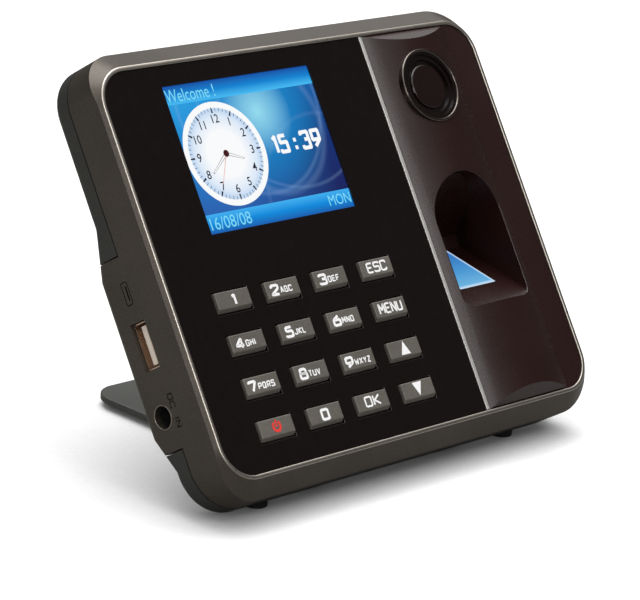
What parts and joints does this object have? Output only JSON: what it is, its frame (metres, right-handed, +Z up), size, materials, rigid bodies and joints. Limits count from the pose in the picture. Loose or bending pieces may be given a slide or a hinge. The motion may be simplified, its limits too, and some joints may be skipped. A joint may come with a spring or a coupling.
{
  "type": "fingerprint time clock",
  "caption": "Desktop time clock that reads a fingerprint: leaning slab with colour screen, number keys, humped finger well and a fold-out stand.",
  "frame": {"origin": "on the desk, under the middle of the object's bounding box", "axes": "+Z up, the screen and keys face -Y and up, +X to the right of someone facing the screen"},
  "size_m": [0.155, 0.1013, 0.1154],
  "materials": {
    "shell_grey": "fine satin texture",
    "cover_grey": "fine satin texture",
    "plate_black": "polished",
    "window_glass": "polished",
    "bright_trim": "polished",
    "bright_ring": "polished",
    "finger_brown": "satin lacquer",
    "dish_dark": "polished",
    "lens_dark": "polished",
    "prism_glass": "polished",
    "socket_steel": "plated",
    "tongue_plastic": "moulded",
    "jack_plastic": "moulded",
    "jack_pin_metal": "plated",
    "screw_steel": "black oxide",
    "pin_steel": "drawn",
    "pad_rubber": "matt",
    "stand_grey": "fine satin texture",
    "foam_black": "matt",
    "display_screen": "lit display",
    "frame_plastic": "moulded",
    "ribbon_film": "polyimide film",
    "mat_rubber": "silicone",
    "board_green": "solder mask",
    "chip_black": "moulded",
    "cell_steel": "plated",
    "lamp_clear": "clear resin",
    "key_grey": "satin"
  },
  "bodies": {
    "clock": {"front_shell": "shell_grey", "rear_cover": "cover_grey", "face_plate": "plate_black", "display_window": "window_glass", "trim_strip": "bright_trim", "finger_panel": "finger_brown", "ring_trim": "bright_ring", "lamp_dish": "dish_dark", "lamp_lens": "lens_dark", "fingerprint_prism": "prism_glass", "usb_socket_shell": "socket_steel", "usb_socket_tongue": "tongue_plastic", "dc_jack_body": "jack_plastic", "dc_jack_pin": "jack_pin_metal", "case_screws": "screw_steel", "body_pads": "pad_rubber", "stand_hinge_pin": "pin_steel", "display_gasket": "foam_black", "display_module": "display_screen", "display_frame": "frame_plastic", "display_ribbon": "ribbon_film", "keypad_mat": "mat_rubber", "main_board": "board_green", "board_chips": "chip_black", "board_screws": "screw_steel", "coin_cell": "cell_steel", "coin_cell_holder": "frame_plastic", "reader_cradle": "frame_plastic", "reader_lamp_board": "board_green", "reader_lamps": "lamp_clear", "reader_camera_board": "board_green", "reader_camera_lens": "chip_black", "reader_ribbon": "ribbon_film", "speaker": "chip_black"},
    "stand": {"stand_plate": "stand_grey", "stand_pads": "pad_rubber"},
    "key_1_cap": {"key_1": "key_grey"},
    "key_2_cap": {"key_2": "key_grey"},
    "key_3_cap": {"key_3": "key_grey"},
    "key_esc_cap": {"key_esc": "key_grey"},
    "key_4_cap": {"key_4": "key_grey"},
    "key_5_cap": {"key_5": "key_grey"},
    "key_6_cap": {"key_6": "key_grey"},
    "key_menu_cap": {"key_menu": "key_grey"},
    "key_7_cap": {"key_7": "key_grey"},
    "key_8_cap": {"key_8": "key_grey"},
    "key_9_cap": {"key_9": "key_grey"},
    "key_up_cap": {"key_up": "key_grey"},
    "key_power_cap": {"key_power": "key_grey"},
    "key_0_cap": {"key_0": "key_grey"},
    "key_ok_cap": {"key_ok": "key_grey"},
    "key_down_cap": {"key_down": "key_grey"}
  },
  "joints": [
    {"name": "stand_hinge", "type": "hinge", "parent": "clock", "child": "stand", "pos_m": [0, -0.02838, 0.0028], "axis": [1, 0, 0], "range_deg": [0, 56]},
    {"name": "key_1_press", "type": "slide", "parent": "clock", "child": "key_1_cap", "axis": [0, 0.8358, -0.549], "range_m": [0, 0.0008], "stiffness_N_per_m": 1000, "springref_m": -0.0004},
    {"name": "key_2_press", "type": "slide", "parent": "clock", "child": "key_2_cap", "axis": [0, 0.8358, -0.549], "range_m": [0, 0.0008], "stiffness_N_per_m": 1000, "springref_m": -0.0004},
    {"name": "key_3_press", "type": "slide", "parent": "clock", "child": "key_3_cap", "axis": [0, 0.8358, -0.549], "range_m": [0, 0.0008], "stiffness_N_per_m": 1000, "springref_m": -0.0004},
    {"name": "key_esc_press", "type": "slide", "parent": "clock", "child": "key_esc_cap", "axis": [0, 0.8358, -0.549], "range_m": [0, 0.0008], "stiffness_N_per_m": 1000, "springref_m": -0.0004},
    {"name": "key_4_press", "type": "slide", "parent": "clock", "child": "key_4_cap", "axis": [0, 0.8358, -0.549], "range_m": [0, 0.0008], "stiffness_N_per_m": 1000, "springref_m": -0.0004},
    {"name": "key_5_press", "type": "slide", "parent": "clock", "child": "key_5_cap", "axis": [0, 0.8358, -0.549], "range_m": [0, 0.0008], "stiffness_N_per_m": 1000, "springref_m": -0.0004},
    {"name": "key_6_press", "type": "slide", "parent": "clock", "child": "key_6_cap", "axis": [0, 0.8358, -0.549], "range_m": [0, 0.0008], "stiffness_N_per_m": 1000, "springref_m": -0.0004},
    {"name": "key_menu_press", "type": "slide", "parent": "clock", "child": "key_menu_cap", "axis": [0, 0.8358, -0.549], "range_m": [0, 0.0008], "stiffness_N_per_m": 1000, "springref_m": -0.0004},
    {"name": "key_7_press", "type": "slide", "parent": "clock", "child": "key_7_cap", "axis": [0, 0.8358, -0.549], "range_m": [0, 0.0008], "stiffness_N_per_m": 1000, "springref_m": -0.0004},
    {"name": "key_8_press", "type": "slide", "parent": "clock", "child": "key_8_cap", "axis": [0, 0.8358, -0.549], "range_m": [0, 0.0008], "stiffness_N_per_m": 1000, "springref_m": -0.0004},
    {"name": "key_9_press", "type": "slide", "parent": "clock", "child": "key_9_cap", "axis": [0, 0.8358, -0.549], "range_m": [0, 0.0008], "stiffness_N_per_m": 1000, "springref_m": -0.0004},
    {"name": "key_up_press", "type": "slide", "parent": "clock", "child": "key_up_cap", "axis": [0, 0.8358, -0.549], "range_m": [0, 0.0008], "stiffness_N_per_m": 1000, "springref_m": -0.0004},
    {"name": "key_power_press", "type": "slide", "parent": "clock", "child": "key_power_cap", "axis": [0, 0.8358, -0.549], "range_m": [0, 0.0008], "stiffness_N_per_m": 1000, "springref_m": -0.0004},
    {"name": "key_0_press", "type": "slide", "parent": "clock", "child": "key_0_cap", "axis": [0, 0.8358, -0.549], "range_m": [0, 0.0008], "stiffness_N_per_m": 1000, "springref_m": -0.0004},
    {"name": "key_ok_press", "type": "slide", "parent": "clock", "child": "key_ok_cap", "axis": [0, 0.8358, -0.549], "range_m": [0, 0.0008], "stiffness_N_per_m": 1000, "springref_m": -0.0004},
    {"name": "key_down_press", "type": "slide", "parent": "clock", "child": "key_down_cap", "axis": [0, 0.8358, -0.549], "range_m": [0, 0.0008], "stiffness_N_per_m": 1000, "springref_m": -0.0004}
  ]
}
